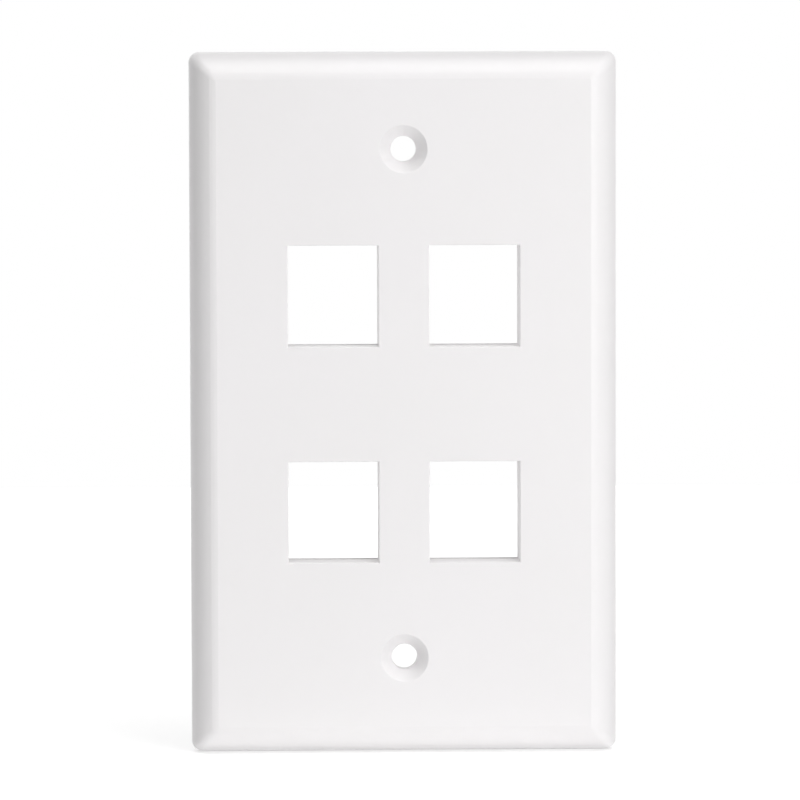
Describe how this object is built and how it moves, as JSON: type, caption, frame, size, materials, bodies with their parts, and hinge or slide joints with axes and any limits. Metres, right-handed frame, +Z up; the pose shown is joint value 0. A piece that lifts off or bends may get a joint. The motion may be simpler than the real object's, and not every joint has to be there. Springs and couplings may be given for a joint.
{
  "type": "keystone faceplate",
  "caption": "Flat rectangular wall plate with rolled edges and countersunk screw holes, with upright rectangular openings framed at the back to snap in keystone jacks",
  "frame": {"origin": "centre of the rear rim, on the wall plane", "axes": "-Y out of the wall, the way the front face looks; +X to the right seen from the front; +Z up, along the plate's height"},
  "size_m": [0.07, 0.0099, 0.115],
  "materials": {
    "faceplate": "white moulded plastic, smooth with a soft sheen"
  },
  "bodies": {
    "root": {"faceplate": "faceplate"}
  },
  "joints": []
}
